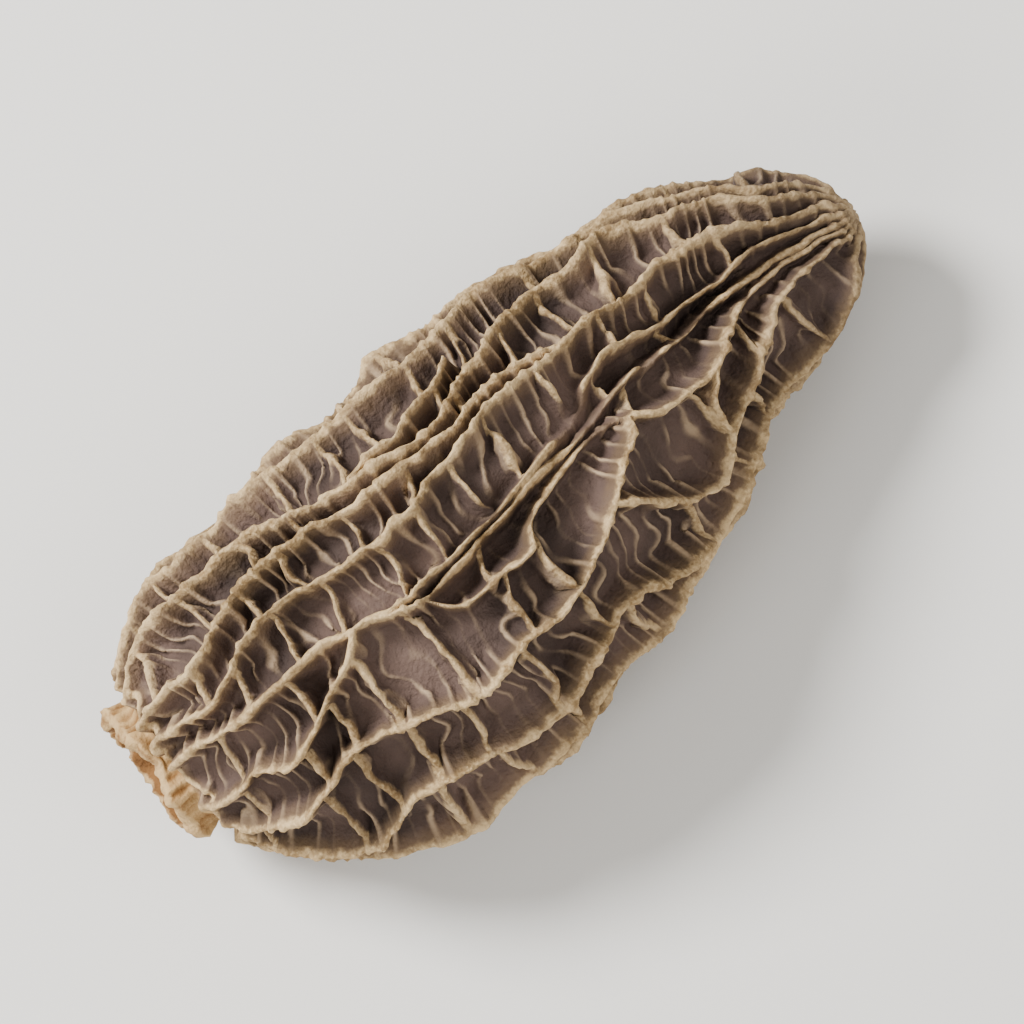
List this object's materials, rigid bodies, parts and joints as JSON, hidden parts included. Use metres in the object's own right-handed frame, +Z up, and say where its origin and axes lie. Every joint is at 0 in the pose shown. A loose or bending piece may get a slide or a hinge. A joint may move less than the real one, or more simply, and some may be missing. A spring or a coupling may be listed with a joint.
{
  "type": "dried morel mushroom",
  "caption": "Dried black morel with its stalk cut short: a hollow cap with a raised net of ribs and deep pits, lying on its flattened side.",
  "frame": {"origin": "centre of the bounding box on the surface that the morel lies on", "axes": "+X along the cap from the cut stalk to the tip, +Y towards the narrower flank of the cap, +Z up"},
  "size_m": [0.0448, 0.022, 0.0172],
  "materials": {
    "morel_flesh": "dry, matt, brown-black pits with paler tan crests"
  },
  "bodies": {
    "root": {"dried_morel": "morel_flesh"}
  },
  "joints": []
}
